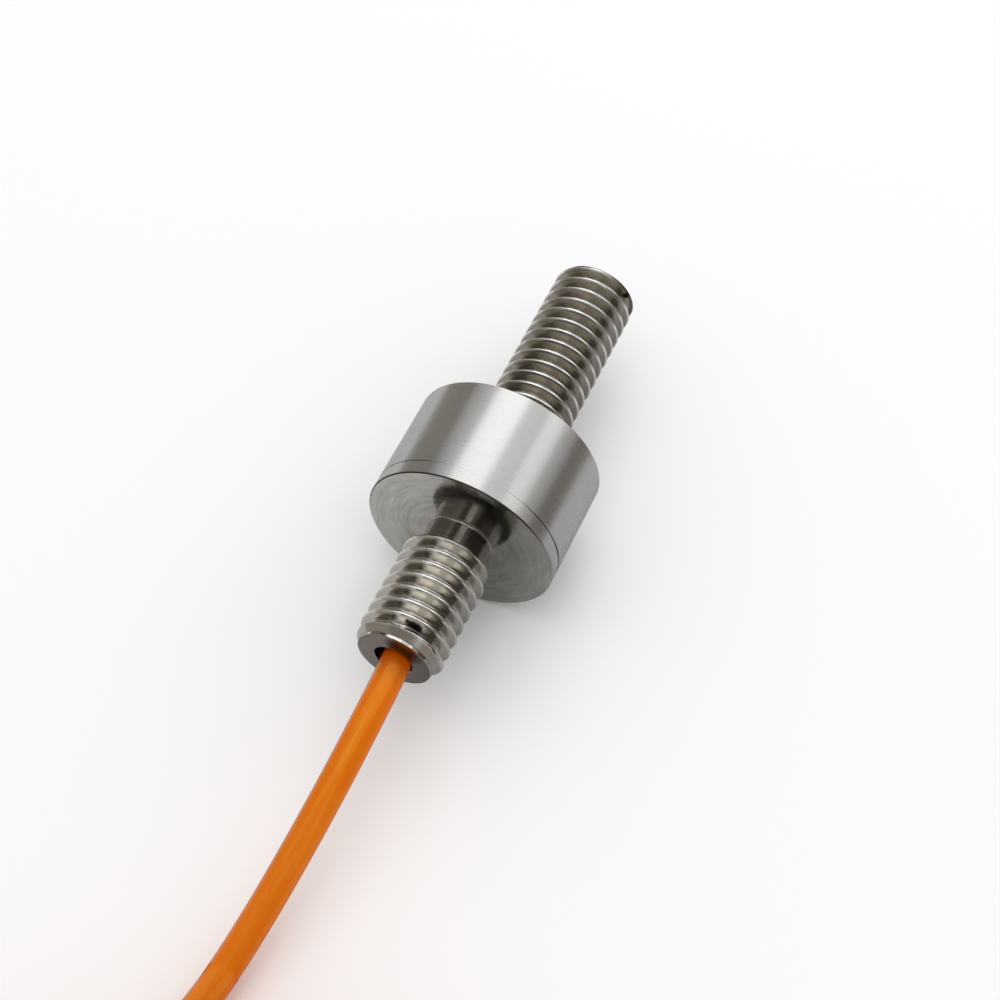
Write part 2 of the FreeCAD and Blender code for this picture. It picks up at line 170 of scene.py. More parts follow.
# Tie round the hank: its strap, then its head
TIE_THICKNESS = 0.7
TIE_WIDTH = 2.5
TIE_HALF = 7.05
TIE_LOW = 8.0
TIE_HIGH = 10.2
TIE_CORNER = 0.45
TIE_CORNER_STEPS = 6
TIE_START = 0.6
TIE_STUB = 1.1
TIE_SHARP_ANGLE = math.radians(34)
TOOTH_LENGTH = 0.5
TOOTH_STEPS = 4
TOOTH_DEPTH = 0.15
TOOTH_HALF = 0.7
TOOTH_MARGIN = 0.06
STRAP_INNER_BREAK = 0.12
STRAP_OUTER_BREAK = 0.14
RAIL_SLOPE = 0.12
RAIL_HEIGHT = 0.09
HEAD_WIDTH = 3.4
HEAD_HEIGHT = 2.1
HEAD_ROUND = 0.3
HEAD_ROUND_MIDDLE = 0.09
WINDOW_HALF = 0.95
WINDOW_FLOOR_HALF = 0.9
SLOT_SIDE_ROOM = 0.06
SLOT_TOP_ROOM = 0.08
# Stations along the head: distance from its end, how far its section is inset, and its window's depth
HEAD_STATIONS = [
    (0.0, 0.22, 0),
    (0.07, 0.07, 0),
    (0.22, 0, 0),
    (0.95, 0, 0),
    (1.0, 0, 0.75),
    (1.6, 0, 0.3),
    (2.3, 0, 0.2),
    (2.35, 0, 0),
    (3.18, 0, 0),
    (3.33, 0.07, 0),
    (HEAD_WIDTH, 0.22, 0),
]


def metres(point):
    return Vector(point) * MM


def clamp(value):
    return min(1.0, max(0.0, value))


def aim(item, target):
    """Turns a lamp or the camera so that it looks at a point."""
    item.rotation_euler = (metres(target) - item.location).to_track_quat("-Z", "Y").to_euler()


# Camera, at the photograph's viewing angle

CAMERA_PLACE = Vector((-67.311, -30.084, 108.455))
CAMERA_LOOK = Vector((0.5202, 0.2336, -0.8215))
camera_data = bpy.data.cameras.new("camera")
camera_data.sensor_width = 36.0
camera_data.lens = 68.4
camera_data.clip_start = 0.005
camera = bpy.data.objects.new("camera", camera_data)
bpy.context.collection.objects.link(camera)
camera.location = metres(CAMERA_PLACE)
aim(camera, CAMERA_PLACE + CAMERA_LOOK * 100)
bpy.context.scene.camera = camera


# Materials

# Tool lines and clouding of bare steel: how fast the lines change round a turn, in noise cells to a metre,
# the clouds' scale in the same cells, their share of the wear, and the lines' depth
LINE_DRIFT = 500
CLOUD_SCALE = 450.0
CLOUD_SHARE = 0.25
LINE_DEPTH = 0.02
# A thread's crest colour, a painted highlight, gives way to its flank colour between these depths below its
# crest
CREST_HIGHLIGHT_FADE = (0.12, 0.02)
# Colour of the dark marks, which are stains and painted shadow
STAIN_AND_SHADE = (0.012, 0.011, 0.01)
# Grain of the other materials
GRAIN_SPREAD = 0.06
GRAIN_DEPTH = 0.05


def new_material(name):
    material = bpy.data.materials.new(name)
    material.use_nodes = True
    nodes = material.node_tree.nodes
    return material, nodes, material.node_tree.links, nodes["Principled BSDF"]


def node(nodes, kind, **inputs):
    """A shader node with values set on its named inputs."""
    made = nodes.new(kind)
    for name, value in inputs.items():
        made.inputs[name.replace("_", " ")].default_value = value
    return made


def object_place(nodes, links):
    """The place on an object, and the outputs that hold its X, Y and Z."""
    place = nodes.new("ShaderNodeTexCoord").outputs["Object"]
    split = nodes.new("ShaderNodeSeparateXYZ")
    links.new(place, split.inputs["Vector"])
    return place, split.outputs


def ranged(nodes, links, source, start, stop, low=0.0, high=1.0):
    """Maps start to stop onto low to high, and stays level beyond them."""
    made = node(nodes, "ShaderNodeMapRange", From_Min=start, From_Max=stop, To_Min=low, To_Max=high)
    links.new(source, made.inputs["Value"])
    return made.outputs["Result"]


def arithmetic(nodes, links, operation, *values):
    """A maths node; each value is a number or another node's output."""
    made = nodes.new("ShaderNodeMath")
    made.operation = operation
    for socket, value in zip(made.inputs, values):
        if isinstance(value, (int, float)):
            socket.default_value = value
        else:
            links.new(value, socket)
    return made.outputs["Value"]


def distance_from(nodes, links, place, point):
    """How far a place on the object is from a point, which is given in millimetres."""
    made = nodes.new("ShaderNodeVectorMath")
    made.operation = "DISTANCE"
    made.inputs[1].default_value = metres(point)
    links.new(place, made.inputs[0])
    return made.outputs["Value"]


def blended(nodes, links, factor, low, high):
    """Mixes two colours, each a colour or another node's output."""
    made = nodes.new("ShaderNodeMix")
    made.data_type = "RGBA"
    links.new(factor, made.inputs["Factor"])
    for socket, value in (("A", low), ("B", high)):
        if isinstance(value, tuple):
            made.inputs[socket].default_value = (*value, 1)
        else:
            links.new(value, made.inputs[socket])
    return made.outputs["Result"]


def times(colour, share):
    return tuple(c * share for c in colour)


def varied(nodes, links, level, colour, contrast):
    """A colour that goes darker and lighter by the contrast as the level goes from 0 to 1."""
    return blended(nodes, links, level, times(colour, 1 - contrast), times(colour, 1 + contrast))


def add_relief(nodes, links, shader, height, strength, depth):
    relief = node(nodes, "ShaderNodeBump", Strength=strength, Distance=depth * MM)
    links.new(height, relief.inputs["Height"])
    links.new(relief.outputs["Normal"], shader.inputs["Normal"])


def turned_steel(name, colour, roughness, spread, streak, contrast, anisotropy,
                 groove=None, spots=(), depth=1.0):
    """Bare turned stainless steel, with tool lines that follow the turning.

    spread is how far the roughness varies, streak how many lines there are to a millimetre and contrast how
    far they differ in brightness. groove is the colour of a thread's flanks below its crests, whose lighter
    colour is a painted highlight, spots are (place, size) of dark marks, some of them painted shadow, and
    depth is how dark those are.
    """
    material, nodes, links, shader = new_material(name)
    place, parts = object_place(nodes, links)
    y, z = parts["Y"], parts["Z"]
    along = nodes.new("ShaderNodeAttribute")
    along.attribute_name = "along"
    lines = nodes.new("ShaderNodeCombineXYZ")
    scaled = {"X": (along.outputs["Fac"], streak), "Y": (y, LINE_DRIFT), "Z": (z, LINE_DRIFT)}
    for axis, factors in scaled.items():
        links.new(arithmetic(nodes, links, "MULTIPLY", *factors), lines.inputs[axis])
    tool = node(nodes, "ShaderNodeTexNoise", Scale=1.0, Detail=4.0, Roughness=0.7)
    links.new(lines.outputs["Vector"], tool.inputs["Vector"])
    cloud = node(nodes, "ShaderNodeTexNoise", Scale=CLOUD_SCALE, Detail=3.0, Roughness=0.6)
    links.new(place, cloud.inputs["Vector"])
    mixed = node(nodes, "ShaderNodeMix", Factor=CLOUD_SHARE)
    links.new(tool.outputs["Fac"], mixed.inputs["A"])
    links.new(cloud.outputs["Fac"], mixed.inputs["B"])
    level = ranged(nodes, links, mixed.outputs["Result"], 0.3, 0.7)
    links.new(ranged(nodes, links, level, 0.0, 1.0, roughness - spread, roughness + spread),
              shader.inputs["Roughness"])
    tint = varied(nodes, links, level, colour, contrast)
    # Crests keep the light colour, a painted highlight, and the flanks below them take the groove colour
    if groove:
        squares = [arithmetic(nodes, links, "POWER", side, 2) for side in (y, z)]
        across = arithmetic(nodes, links, "SQRT", arithmetic(nodes, links, "ADD", *squares))
        height = ranged(nodes, links, across, *[(CREST_RADIUS - below) * MM for below in CREST_HIGHLIGHT_FADE])
        tint = blended(nodes, links, height, varied(nodes, links, level, groove, contrast), tint)
    for (x, radius, angle), size in spots:
        apart = distance_from(nodes, links, place, (x, radius * math.cos(angle), radius * math.sin(angle)))
        reach = size * MM
        ragged = arithmetic(nodes, links, "MULTIPLY_ADD", cloud.outputs["Fac"], reach, apart)
        centred = arithmetic(nodes, links, "SUBTRACT", ragged, reach * 0.5)
        mark = ranged(nodes, links, centred, reach, reach * 0.5, 0.0, depth)
        tint = blended(nodes, links, mark, tint, STAIN_AND_SHADE)
    links.new(tint, shader.inputs["Base Color"])
    add_relief(nodes, links, shader, tool.outputs["Fac"], 0.3, LINE_DEPTH)
    tangent = nodes.new("ShaderNodeTangent")
    tangent.direction_type = "RADIAL"
    tangent.axis = "X"
    links.new(tangent.outputs["Tangent"], shader.inputs["Tangent"])
    shader.inputs["Metallic"].default_value = 1.0
    shader.inputs["Anisotropic"].default_value = anisotropy
    shader.inputs["Anisotropic Rotation"].default_value = 0.25
    return material


def grained(name, colour, other, roughness, scale, metallic=0.0):
    """A material that varies a little between two colours, with fine grain in its surface."""
    material, nodes, links, shader = new_material(name)
    noise = node(nodes, "ShaderNodeTexNoise", Scale=scale, Detail=5.0, Roughness=0.6)
    links.new(nodes.new("ShaderNodeTexCoord").outputs["Object"], noise.inputs["Vector"])
    level = noise.outputs["Fac"]
    links.new(blended(nodes, links, level, colour, other), shader.inputs["Base Color"])
    links.new(ranged(nodes, links, level, 0.0, 1.0, roughness - GRAIN_SPREAD, roughness + GRAIN_SPREAD),
              shader.inputs["Roughness"])
    add_relief(nodes, links, shader, level, 0.1, GRAIN_DEPTH)
    shader.inputs["Metallic"].default_value = metallic
    return material


# Colours of the steel's finishes
STEEL = (0.565, 0.56, 0.55)
FACE_STEEL = (0.61, 0.595, 0.562)
# Painted highlight: the thread crests are lighter than bare steel
CREST_HIGHLIGHT_STEEL = (0.9, 0.89, 0.87)
GROOVE_STEEL = (0.56, 0.537, 0.485)
# Painted shade: the upper stud's flanks are darker than bare steel
UPPER_GROOVE_SHADE_STEEL = (0.375, 0.35, 0.297)
# Painted shade: the neck beside the diaphragm is darker than bare steel
NECK_SHADE_STEEL = (0.44, 0.42, 0.38)
# Painted shade on the lower stud's end, standing for the dark that it reflects
END_SHADE_STEEL = (0.245, 0.226, 0.204)
# Painted shade: near black along the seam's groove and the diaphragm's rim break
EDGE_SHADE_STEEL = (0.1, 0.092, 0.085)

# Dark marks: (place along the axis, radius, angle about it) and size
THREAD_SPOTS = [
    # Painted shadow in the deep gap where the lower thread starts
    ((LOWER_END + 1.06, 2.66, FRONT_ANGLE - 0.15), 0.28),
    ((LOWER_END + 1.12, 2.62, FRONT_ANGLE - 0.06), 0.36),
    ((LOWER_END + 1.16, 2.6, FRONT_ANGLE + 0.04), 0.44),
    ((LOWER_END + 1.18, 2.58, FRONT_ANGLE + 0.14), 0.44),
    ((LOWER_END + 1.2, 2.56, FRONT_ANGLE + 0.24), 0.36),
    ((-10.3, 2.95, FRONT_ANGLE + 0.9), 0.12),
    ((-9.9, 2.9, FRONT_ANGLE - 0.55), 0.1),
    ((-12.6, 2.9, FRONT_ANGLE - 0.35), 0.08),
    ((UPPER_END - 0.08, 2.66, FRONT_ANGLE + 0.36), 0.2),
    ((UPPER_END - 0.12, 2.68, FRONT_ANGLE + 0.5), 0.24),
    ((UPPER_END - 0.2, 2.7, FRONT_ANGLE + 0.62), 0.26),
    ((UPPER_END - 0.36, 2.7, FRONT_ANGLE + 0.72), 0.3),
    ((UPPER_END - 0.56, 2.7, FRONT_ANGLE + 0.785), 0.32),
]
# A row of painted shadow marks that follows the upper stud's thread where it comes out of the body
ROOT_SHADOW_X = 3.7
ROOT_SHADOW_RADIUS = 2.7
ROOT_SHADOW_SIZE = 0.17
for step in range(6):
    ahead = 0.15 * step - 0.2
    root_shadow_place = (ROOT_SHADOW_X + PITCH * ahead / FULL_TURN, ROOT_SHADOW_RADIUS, FRONT_ANGLE + ahead)
    THREAD_SPOTS.append((root_shadow_place, ROOT_SHADOW_SIZE))
# Painted shade on the lower stud's end above its bore, standing for the dark that it reflects
END_SHADE_SPOTS = [((LOWER_END + 0.04, 1.85, FRONT_ANGLE + ahead), 0.62) for ahead in (-0.3, 0.0, 0.3, 0.6)]
SEAM_SPOTS = [
    ((SEAM, BODY_RADIUS, math.radians(38)), 0.13),
    ((SEAM, BODY_RADIUS, math.radians(51)), 0.09),
]

# Finishes in the order of their material numbers, with roughness, its spread, lines to a millimetre, their
# contrast and the anisotropy
STEELS = [
    turned_steel("body_steel", STEEL, 0.3, 0.05, 11, 0.11, 0.75, spots=SEAM_SPOTS),
    turned_steel("face_steel", FACE_STEEL, 0.11, 0.05, 5, 0.25, 0.5),
    turned_steel("inner_face_steel", times(FACE_STEEL, 0.9), 0.11, 0.05, 4, 0.3, 0.5),
    turned_steel("thread_steel", CREST_HIGHLIGHT_STEEL, 0.15, 0.05, 10, 0.1, 0.3, GROOVE_STEEL, THREAD_SPOTS),
    turned_steel("upper_thread_steel", CREST_HIGHLIGHT_STEEL, 0.15, 0.05, 10, 0.1, 0.3,
                 UPPER_GROOVE_SHADE_STEEL, THREAD_SPOTS),
    turned_steel("end_steel", END_SHADE_STEEL, 0.24, 0.08, 9, 0.2, 0.4, spots=END_SHADE_SPOTS, depth=0.6),
    turned_steel("edge_steel", EDGE_SHADE_STEEL, 0.4, 0.1, 6, 0.2, 0.2),
    # Dull steel for the upper stud's tip, darker than bare steel as painted shade
    turned_steel("dull_shaded_steel", times(STEEL, 0.3), 0.3, 0.08, 9, 0.15, 0.3, spots=THREAD_SPOTS),
    turned_steel("neck_steel", NECK_SHADE_STEEL, 0.15, 0.05, 10, 0.12, 0.3),
    # Dark dull steel for the lower thread's last flank: painted shade, seen in the diaphragm's reflection
    turned_steel("runout_steel", times(STEEL, 0.16), 0.3, 0.08, 9, 0.15, 0.3),
]
BODY, FACE, INNER, THREAD, UPPER_THREAD, END, EDGE, DULL_SHADED, NECK, RUNOUT_FLANK = range(len(STEELS))

# The cable's jacket, with painted shade over a short length where it leaves the stud
JACKET = (0.73, 0.135, 0.001)
JACKET_LIGHT = (0.79, 0.16, 0.003)
JACKET_ROOT_SHADE = (0.42, 0.05, 0.001)
JACKET_SHEEN = (0.7, 1.0, 0.2)
ROOT_SHADE_SHARE = 0.75
ROOT_FULL = 0.1
ROOT_GONE = 1.8


def jacket_material():
    """The cable's glossy jacket, with painted shade where it leaves the stud."""
    material = grained("orange_jacket", JACKET, JACKET_LIGHT, 0.22, 900)
    nodes, links = material.node_tree.nodes, material.node_tree.links
    shader = nodes["Principled BSDF"]
    x = object_place(nodes, links)[1]["X"]
    # Painted shade where the jacket leaves the stud
    gone, full = (LOWER_END - ROOT_GONE) * MM, (LOWER_END - ROOT_FULL) * MM
    root = ranged(nodes, links, x, gone, full, 0.0, ROOT_SHADE_SHARE)
    plain = shader.inputs["Base Color"].links[0].from_socket
    links.new(blended(nodes, links, root, plain, JACKET_ROOT_SHADE), shader.inputs["Base Color"])
    shader.inputs["Specular IOR Level"].default_value = 1.0
    shader.inputs["Specular Tint"].default_value = (*JACKET_SHEEN, 1)
    return material


jacket = jacket_material()
resin = grained("resin", (0.008, 0.008, 0.008), (0.02, 0.018, 0.016), 0.5, 1500)
tie_nylon = grained("tie_nylon", (0.012, 0.012, 0.013), (0.022, 0.022, 0.023), 0.45, 1200)
tinned = grained("tinned", (0.6, 0.6, 0.6), (0.7, 0.7, 0.69), 0.35, 3000, metallic=1.0)
copper = grained("copper", (0.72, 0.33, 0.18), (0.78, 0.4, 0.24), 0.3, 3000, metallic=1.0)
brass = grained("brass", (0.68, 0.48, 0.22), (0.74, 0.54, 0.28), 0.32, 2000, metallic=1.0)
laminate = grained("laminate", (0.02, 0.16, 0.05), (0.03, 0.22, 0.08), 0.4, 2500)
gauge_film = grained("gauge_film", (0.5, 0.24, 0.03), (0.6, 0.32, 0.06), 0.35, 3000)
chip_body = grained("chip_body", (0.04, 0.04, 0.045), (0.08, 0.08, 0.085), 0.45, 3000)
INSULATION_COLOURS = {
    "red": ((0.45, 0.012, 0.012), (0.55, 0.025, 0.02)),
    "black": ((0.008, 0.008, 0.008), (0.018, 0.018, 0.018)),
    "green": ((0.012, 0.2, 0.035), (0.025, 0.26, 0.06)),
    "white": ((0.72, 0.72, 0.7), (0.82, 0.82, 0.8)),
}
INSULATION = {
    colour: grained(f"{colour}_insulation", *shades, 0.38, 2000)
    for colour, shades in INSULATION_COLOURS.items()
}


# Turned pieces

def filleted(points, radii, steps):
    """A half section with arcs at the corners that have a radius, as (x, r) rows."""
    rows = []
    for i, (x, r) in enumerate(points):
        radius = radii.get(i, 0)
        if not radius:
            rows.append((x, r))
            continue
        corner = Vector((x, r))
        back = (Vector(points[i - 1]) - corner).normalized()
        ahead = (Vector(points[(i + 1) % len(points)]) - corner).normalized()
        half = back.angle(ahead) / 2
        reach = radius / math.tan(half)
        middle = corner + (back + ahead).normalized() * (radius / math.sin(half))
        start = corner + back * reach - middle
        turn = start.angle_signed(corner + ahead * reach - middle)
        for k in range(steps + 1):
            arm = start.copy()
            arm.rotate(Matrix.Rotation(-turn * k / steps, 2))
            rows.append(tuple(middle + arm))
    return rows


def envelope(outline, x):
    """The height of a polyline of (x, height) rows at a place along it."""
    for (x0, r0), (x1, r1) in zip(outline, outline[1:]):
        if x0 <= x <= x1:
            return r0 + (r1 - r0) * (x - x0) / (x1 - x0)
    return outline[0][1] if x < outline[0][0] else outline[-1][1]


def thread_depth(phase):
    """The depth of the thread's form below its crest, part of the way along a pitch."""
    for (t0, d0), (t1, d1) in zip(THREAD_FORM, THREAD_FORM[1:] + [(1.0, 0.0)]):
        if t0 <= phase <= t1:
            return d0 + (d1 - d0) * (phase - t0) / (t1 - t0)
    return 0.0


def thread_columns(outline, crest, start):
    """A right-hand thread inside an outline: for each column, rows of (x, r, distance along the form).

    start is the turn at which the groove begins, counted along the thread from where it faces the camera.
    """
    low, high = outline[0][0], outline[-1][0]
    first = math.floor((low - crest) / PITCH) - 2
    last = math.ceil((high - crest) / PITCH) + 2
    columns = []
    for column in range(COLUMNS):
        turned_by = FULL_TURN * column / COLUMNS - FRONT_ANGLE
        shift = crest + PITCH * turned_by / FULL_TURN
        rows = []
        for turn in range(first, last):
            for t, _ in THREAD_FORM:
                x = min(high, max(low, shift + (turn + t) * PITCH))
                place = (x - shift) / PITCH
                cut = clamp((math.floor(place) + turned_by / FULL_TURN - start) / GROOVE_START)
                radius = min(CREST_RADIUS - thread_depth(place % 1.0) * cut, envelope(outline, x))
                rows.append((x, radius, (turn + t) * FORM_LENGTH * PITCH))
        columns.append(rows)
    return columns


def plain_columns(section):
    """Columns of (x, r, distance along the section) for a half section of (x, r) rows.

    A section may be a function of the angle about the axis.
    """
    columns = []
    for column in range(COLUMNS):
        rows = section(FULL_TURN * column / COLUMNS) if callable(section) else section
        travelled = rows[0][0]
        made = [(*rows[0], travelled)]
        for before, row in zip(rows, rows[1:]):
            travelled += math.dist(before, row)
            made.append((*row, travelled))
        columns.append(made)
    return columns


def turned(name, stretches, closed):
    """A mesh turned about the load axis.

    Each stretch is its columns, its material number, and the rows by which its last column is ahead of the
    first.
    """
    mesh = bmesh.new()
    along = mesh.verts.layers.float.new("along")
    grid = [[] for _ in range(COLUMNS)]
    kinds = []
    ends = []
    jumps = []
    for columns, kind, jump in stretches:
        count = len(columns[0])
        for column, rows in enumerate(columns):
            angle = FULL_TURN * column / COLUMNS
            for x, r, distance in rows:
                vert = mesh.verts.new(metres((x, r * math.cos(angle), r * math.sin(angle))))
                vert[along] = distance
                grid[column].append(vert)
        ends += [len(kinds) + count - 1] * count
        kinds += [kind] * count
        jumps += [jump] * count
    total = len(kinds)
    for column in range(COLUMNS):
        here = grid[column]
        there = grid[(column + 1) % COLUMNS]
        for i in range(total if closed else total - 1):
            after = (i + 1) % total
            low, high = i, after
            if column == COLUMNS - 1:
                low = min(i + jumps[i], ends[i])
                high = min(after + jumps[after], ends[after])
            corners = []
            for vert in (here[i], here[after], there[high], there[low]):
                if all((vert.co - other.co).length > SAME_PLACE for other in corners):
                    corners.append(vert)
            if len(corners) > 2:
                face = mesh.faces.new(corners)
                face.material_index = kinds[after]
                face.smooth = True
    bmesh.ops.remove_doubles(mesh, verts=mesh.verts, dist=MERGE_DISTANCE)
    bmesh.ops.dissolve_degenerate(mesh, edges=mesh.edges, dist=MERGE_DISTANCE)
    loose = [v for v in mesh.verts if not v.link_faces]
    bmesh.ops.delete(mesh, geom=loose, context="VERTS")
    bmesh.ops.recalc_face_normals(mesh, faces=mesh.faces)
    data = bpy.data.meshes.new(name)
    mesh.to_mesh(data)
    mesh.free()
    data.set_sharp_from_angle(angle=TURNED_SHARP_ANGLE)
    for material in STEELS:
        data.materials.append(material)
    item = bpy.data.objects.new(name, data)
    item.location = metres((0, 0, AXIS_HEIGHT))
    bpy.context.collection.objects.link(item)
    return item


def neck_rows():
    """The neck beside the diaphragm, with the fine scallops that the tool left."""
    length = LOWER_FACE - NECK_FILLET - NECK_START
    count = NECK_LINES * NECK_LINE_STEPS
    rows = []
    for i in range(count):
        share = i / count
        across = (share * NECK_LINES) % 1.0
        rows.append((NECK_START + share * length, NECK_RADIUS - NECK_LINE_CURVE * across * (1 - across)))
    return rows


def seam_gap(angle):
    """Half the width of the seam, which the turning has closed in along the top of the body."""
    facing = math.degrees(angle) - SEAM_CLOSED_MIDDLE
    closed = max(0.0, 1 - (facing / SEAM_CLOSED_SPAN) ** 4)
    wander = 0.15 * math.sin(5 * angle) + 0.1 * math.sin(13 * angle + 1)
    opened = clamp((facing - SEAM_OPENS_AFTER) / SEAM_OPENS_OVER)
    return SEAM_HALF_GAP * (1 + wander) * (1 - 0.9 * closed) * (1 + opened)


def dark_rim_share(angle):
    """How much of the diaphragm's rim break is painted dark as shade, which tapers out at its two ends."""
    apart = abs((math.degrees(angle) - DARK_RIM_MIDDLE + 180) % 360 - 180)
    return clamp((DARK_RIM_HALF_SPAN - apart) / DARK_RIM_TAPER)


def darken_runout(item):
    """Paints the last flank of the lower thread, which faces the diaphragm, in dark dull steel as painted
    shade that the diaphragm reflects.
    """
    for face in item.data.polygons:
        x, y, z = face.center / MM
        ahead = (math.atan2(z, y) - FRONT_ANGLE + math.pi) % FULL_TURN - math.pi
        edge = LOWER_CREST + PITCH * ahead / FULL_TURN - RUNOUT_SHADE_REACH * clamp((ahead - RUNOUT_SHADE_START) / RUNOUT_SHADE_SPAN)
        if face.material_index == THREAD and x > edge:
            face.material_index = RUNOUT_FLANK


def sensing_element():
    """The diaphragm with its neck and the hollow lower stud."""
    bore = [
        (SEAM, BORE_RADIUS),
        (LOWER_END + BORE_BREAK_LENGTH, BORE_RADIUS),
        (LOWER_END, BORE_RADIUS + BORE_BREAK_WIDTH),
    ]
    end = [(LOWER_END + back, radius) for back, radius in END_ROWS]
    land = [(LOWER_END + LAND_BREAK, LAND_RADIUS), (LOWER_END + LAND_LENGTH, LAND_RADIUS)]
    thread_outline = [
        (LOWER_END + LAND_LENGTH, LAND_RADIUS + LAND_STEP),
        (LOWER_END + CHAMFER_LENGTH, STUD_RADIUS),
        (NECK_START - RUNOUT, STUD_RADIUS),
        (NECK_START, NECK_RADIUS),
    ]
    corner = [(NECK_START, NECK_RADIUS), (LOWER_FACE, NECK_RADIUS), (LOWER_FACE, BODY_RADIUS)]
    fillet = filleted(corner, {1: NECK_FILLET}, NECK_FILLET_STEPS)[1:-1]
    inner_face = [(LOWER_FACE, INNER_FACE_START), (LOWER_FACE, INNER_FACE_RADIUS)]
    face = [(LOWER_FACE, BODY_RADIUS - RIM_BREAK)]
    recess = [
        (SEAM, RECESS_RADIUS),
        (SEAM - RECESS_DEPTH, RECESS_RADIUS),
        (SEAM - RECESS_DEPTH, HUB_RADIUS),
        (SEAM, HUB_RADIUS),
    ]

    def dark_rim(angle):
        share = dark_rim_share(angle)
        return [(LOWER_FACE + RIM_BREAK * share, BODY_RADIUS - RIM_BREAK * (1 - share))]

    def wall(angle):
        return [(LOWER_FACE + RIM_BREAK, BODY_RADIUS), (SEAM - seam_gap(angle), BODY_RADIUS)]

    def seam(angle):
        return [(SEAM - seam_gap(angle), BODY_RADIUS - SEAM_DEPTH), (SEAM, BODY_RADIUS - SEAM_DEPTH)]

    item = turned("sensing_element_turned", [
        (plain_columns(bore), THREAD, 0),
        (plain_columns(end), END, 0),
        (plain_columns(land), FACE, 0),
        (thread_columns(thread_outline, LOWER_CREST, LOWER_THREAD_START), THREAD, len(THREAD_FORM)),
        (plain_columns(neck_rows() + fillet), NECK, 0),
        (plain_columns(inner_face), INNER, 0),
        (plain_columns(face), FACE, 0),
        # The rim break's dark stretch is painted shade
        (plain_columns(dark_rim), EDGE, 0),
        (plain_columns(wall), BODY, 0),
        # The seam's groove is painted dark as shade
        (plain_columns(seam), EDGE, 0),
        (plain_columns(recess), FACE, 0),
    ], True)
    darken_runout(item)
    return item


def upper_housing():
    """The cup that closes the body, with the solid upper stud."""
    chamber = [
        (SEAM + CHAMBER_DEPTH, 0),
        (SEAM + CHAMBER_DEPTH, CHAMBER_TOP_RADIUS),
        (SEAM + LEDGE_DEPTH, CHAMBER_TOP_RADIUS),
        (SEAM + LEDGE_DEPTH, CHAMBER_RADIUS),
        (SEAM, CHAMBER_RADIUS),
    ]

    def seam(angle):
        edge = SEAM + seam_gap(angle)
        return [(SEAM, BODY_RADIUS - SEAM_DEPTH), (edge, BODY_RADIUS - SEAM_DEPTH), (edge, BODY_RADIUS)]

    wall = [(UPPER_FACE - RIM_BREAK, BODY_RADIUS)]
    shoulder = [(UPPER_FACE, BODY_RADIUS - RIM_BREAK), (UPPER_FACE, RELIEF_RADIUS)]
    tip_start = (UPPER_END - TIP_LENGTH, STUD_RADIUS)
    thread_outline = [(RELIEF_END, RELIEF_RADIUS), (RELIEF_END + RUNOUT, STUD_RADIUS), tip_start]
    tip_outline = [tip_start, (UPPER_END, STUD_RADIUS - TIP_BREAK)]
    end = [(UPPER_END, TIP_RING_RADIUS), (UPPER_END, 0)]
    return turned("upper_housing_turned", [
        (plain_columns(chamber), FACE, 0),
        # The seam's groove is painted dark as shade
        (plain_columns(seam), EDGE, 0),
        (plain_columns(wall), BODY, 0),
        (plain_columns(shoulder), FACE, 0),
        (thread_columns(thread_outline, UPPER_CREST, UPPER_THREAD_START), UPPER_THREAD, len(THREAD_FORM)),
        # The tip's chamfer is dull steel painted darker as shade
        (thread_columns(tip_outline, UPPER_CREST, UPPER_THREAD_START), DULL_SHADED, len(THREAD_FORM)),
        (plain_columns(end), FACE, 0),
    ], False)


element = sensing_element()
housing = upper_housing()
for piece, replaced in ((element, "sensing_element"), (housing, "upper_housing")):
    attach(piece, "root")
    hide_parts(replaced)


# Cords

def cord_curve(name, points, diameter, material):
    """A round cord on one open spline, with the route's points as its control points."""
    data = bpy.data.curves.new(name, "CURVE")
    data.dimensions = "3D"
    data.bevel_depth = diameter / 2 * MM
    data.bevel_resolution = 5
    data.resolution_u = 6
    data.use_fill_caps = True
    spline = data.splines.new("NURBS")
    spline.points.add(len(points) - 1)
    for point, place in zip(spline.points, points):
        point.co = (*metres(place), 1)
    spline.order_u = 3
    spline.use_endpoint_u = True
    data.materials.append(material)
    item = bpy.data.objects.new(name, data)
    bpy.context.collection.objects.link(item)
    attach(item, "root")
    return item


def curve_length(item):
    """The length of a curve's own line, in metres."""
    plain = item.data.copy()
    plain.bevel_depth = 0
    probe = bpy.data.objects.new("probe", plain)
    bpy.context.collection.objects.link(probe)
    line = bpy.data.meshes.new_from_object(probe.evaluated_get(bpy.context.evaluated_depsgraph_get()))
    ends = [[line.vertices[i].co for i in edge.vertices] for edge in line.edges]
    total = sum((a - b).length for a, b in ends)
    bpy.data.meshes.remove(line)
    bpy.data.objects.remove(probe)
    bpy.data.curves.remove(plain)
    return total


CABLE_ROUTE = [
    (CABLE_START, 0.0, 6.5),
    (-10.0, 0.0, 6.5),
    (-14.0, -0.1, 6.5),
    (-17.4, -0.28, 6.5),
    (-20.6, -0.36, 6.38),
    (-25.0, -0.2, 5.45),
    (-29.8, 0.25, 3.9),
    (-34.6, 0.85, 2.35),
    (-39.2, 1.6, 1.25),
    (-43.2, 2.85, 1.0),
    (-46.2, 3.9, 1.0),
    (-49.6, 4.5, 1.0),
]
TAIL_ROUTE = [
    (HANK_NEAR_X - 4, HANK_Y + 9.4, TAIL_Z),
    (WAIST_X + TAIL_REACH, TAIL_Y + 0.2, TAIL_Z),
    (WAIST_X, TAIL_Y, TAIL_Z),
    (WAIST_X - TAIL_REACH, TAIL_Y, TAIL_Z),
]
